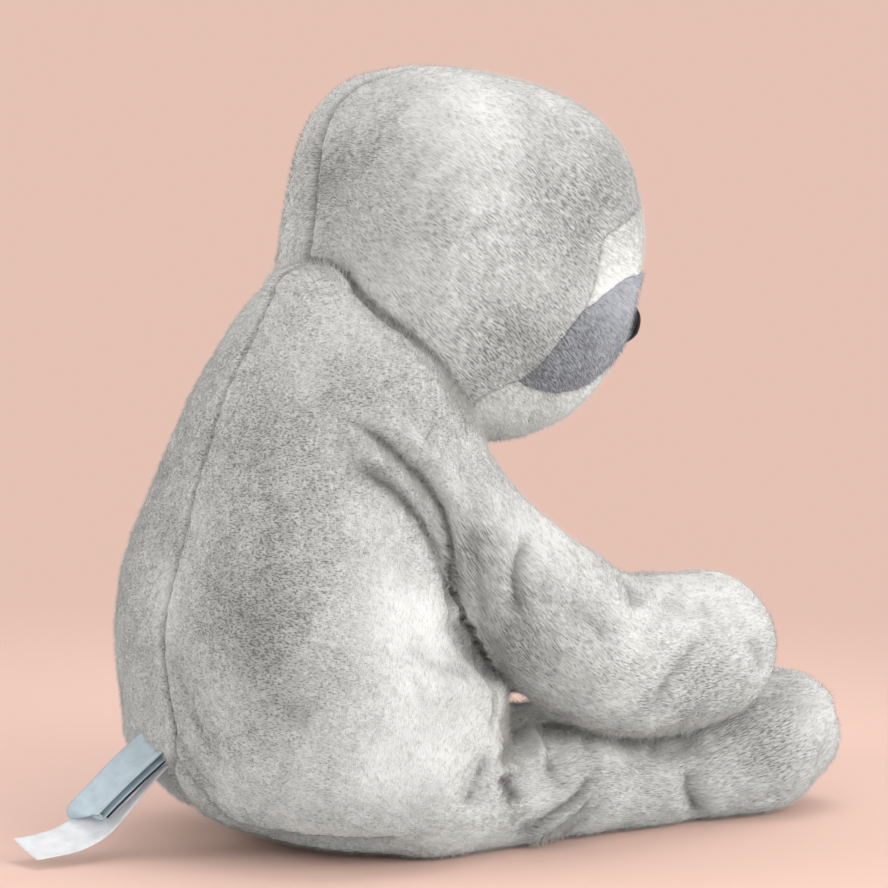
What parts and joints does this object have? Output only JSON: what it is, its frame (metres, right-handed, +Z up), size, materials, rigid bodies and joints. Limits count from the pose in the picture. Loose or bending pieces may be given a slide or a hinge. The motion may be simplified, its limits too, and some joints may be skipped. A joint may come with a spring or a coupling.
{
  "type": "plush sloth",
  "caption": "Seated plush sloth: stuffed torso, hanging head with a pale masked face, thick arms resting on outstretched legs, sewn-in labels at the back",
  "frame": {"origin": "a point of the seat's flat underside, on the surface the sloth sits on, in the middle plane and below the middle of the back and belly", "axes": "+Z up, the sloth faces -Y, its left side is +X and its right side is -X"},
  "size_m": [0.2084, 0.3761, 0.347],
  "materials": {
    "fur": "short warm grey plush pile",
    "face_fur": "short off-white plush pile",
    "patch_fur": "short slate grey plush pile",
    "nose_cloth": "matt black cloth",
    "eye": "polished black",
    "stuffing": "loose white fibre filling",
    "label": "pale blue woven satin",
    "care_ribbon": "white satin ribbon"
  },
  "bodies": {
    "torso": {"seat_panel": "fur", "torso_belly": "fur", "torso_back_left": "fur", "torso_back_right": "fur", "torso_stuffing": "stuffing"},
    "head": {"head_side_left": "fur", "head_side_right": "fur", "face_panel": "face_fur", "head_stuffing": "stuffing", "nose": "nose_cloth", "eye_patch_right": "patch_fur", "eye_right": "eye", "eye_patch_left": "patch_fur", "eye_left": "eye"},
    "arm_right": {"arm_right_outer": "fur", "arm_right_inner": "fur", "arm_right_stuffing": "stuffing"},
    "arm_left": {"arm_left_outer": "fur", "arm_left_inner": "fur", "arm_left_stuffing": "stuffing"},
    "leg_right": {"leg_right_outer": "fur", "leg_right_inner": "fur", "leg_right_stuffing": "stuffing"},
    "leg_left": {"leg_left_outer": "fur", "leg_left_inner": "fur", "leg_left_stuffing": "stuffing"},
    "labels": {"brand_label": "label", "care_label": "care_ribbon"}
  },
  "joints": [
    {"name": "neck_nod", "type": "hinge", "parent": "torso", "child": "head", "pos_m": [0, -0.09, 0.263], "axis": [-1, 0, 0], "range_deg": [0, 25]},
    {"name": "shoulder_right_lift", "type": "hinge", "parent": "torso", "child": "arm_right", "pos_m": [-0.052, -0.04, 0.2], "axis": [-0.766, 0, -0.6428], "range_deg": [0, 40]},
    {"name": "shoulder_left_lift", "type": "hinge", "parent": "torso", "child": "arm_left", "pos_m": [0.052, -0.04, 0.2], "axis": [-0.766, 0, 0.6428], "range_deg": [0, 40]},
    {"name": "hip_right_splay", "type": "hinge", "parent": "torso", "child": "leg_right", "pos_m": [-0.052, -0.028, 0.036], "axis": [0, 0, -1], "range_deg": [0, 25]},
    {"name": "hip_left_splay", "type": "hinge", "parent": "torso", "child": "leg_left", "pos_m": [0.052, -0.028, 0.036], "axis": [0, 0, 1], "range_deg": [0, 25]},
    {"name": "label_flip", "type": "hinge", "parent": "torso", "child": "labels", "pos_m": [0.021, 0.0649, 0.0445], "axis": [1, 0, 0], "range_deg": [0, 60]}
  ]
}
